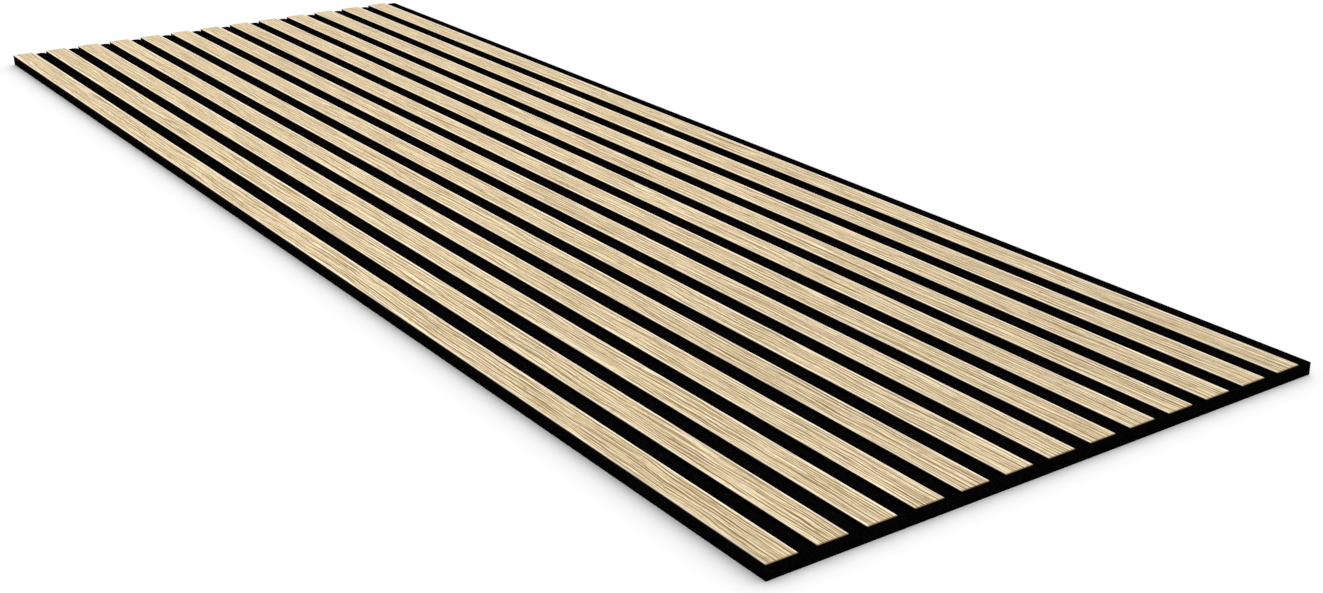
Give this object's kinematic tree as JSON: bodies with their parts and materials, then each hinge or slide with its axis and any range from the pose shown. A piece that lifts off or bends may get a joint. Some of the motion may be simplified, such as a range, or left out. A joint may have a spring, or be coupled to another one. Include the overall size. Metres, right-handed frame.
{
  "type": "acoustic slat wall panel",
  "caption": "Flat acoustic wall panel: long oak-faced black slats at an even pitch, stapled to a black felt sheet that runs on past the last slat to meet the next panel.",
  "frame": {"origin": "middle of the felt's back face, which goes against the wall", "axes": "+X across the slats, from the edge where the first slat is flush to the edge where the felt is bare; +Y along the slats; +Z out of the oak faces, away from the wall"},
  "size_m": [0.598, 1.8, 0.014],
  "materials": {
    "oak_veneer": "matt lacquered oak",
    "black_board": "through-dyed black fibreboard, matt",
    "black_felt": "needle-punched polyester felt, matt",
    "staple_wire": "galvanised wire"
  },
  "bodies": {
    "root": {"felt_backing": "black_felt", "slat_core_01": "black_board", "slat_core_02": "black_board", "slat_core_03": "black_board", "slat_core_04": "black_board", "slat_core_05": "black_board", "slat_core_06": "black_board", "slat_core_07": "black_board", "slat_core_08": "black_board", "slat_core_09": "black_board", "slat_core_10": "black_board", "slat_core_11": "black_board", "slat_core_12": "black_board", "slat_core_13": "black_board", "slat_veneer_01": "oak_veneer", "slat_veneer_02": "oak_veneer", "slat_veneer_03": "oak_veneer", "slat_veneer_04": "oak_veneer", "slat_veneer_05": "oak_veneer", "slat_veneer_06": "oak_veneer", "slat_veneer_07": "oak_veneer", "slat_veneer_08": "oak_veneer", "slat_veneer_09": "oak_veneer", "slat_veneer_10": "oak_veneer", "slat_veneer_11": "oak_veneer", "slat_veneer_12": "oak_veneer", "slat_veneer_13": "oak_veneer", "back_staples": "staple_wire"}
  },
  "joints": []
}
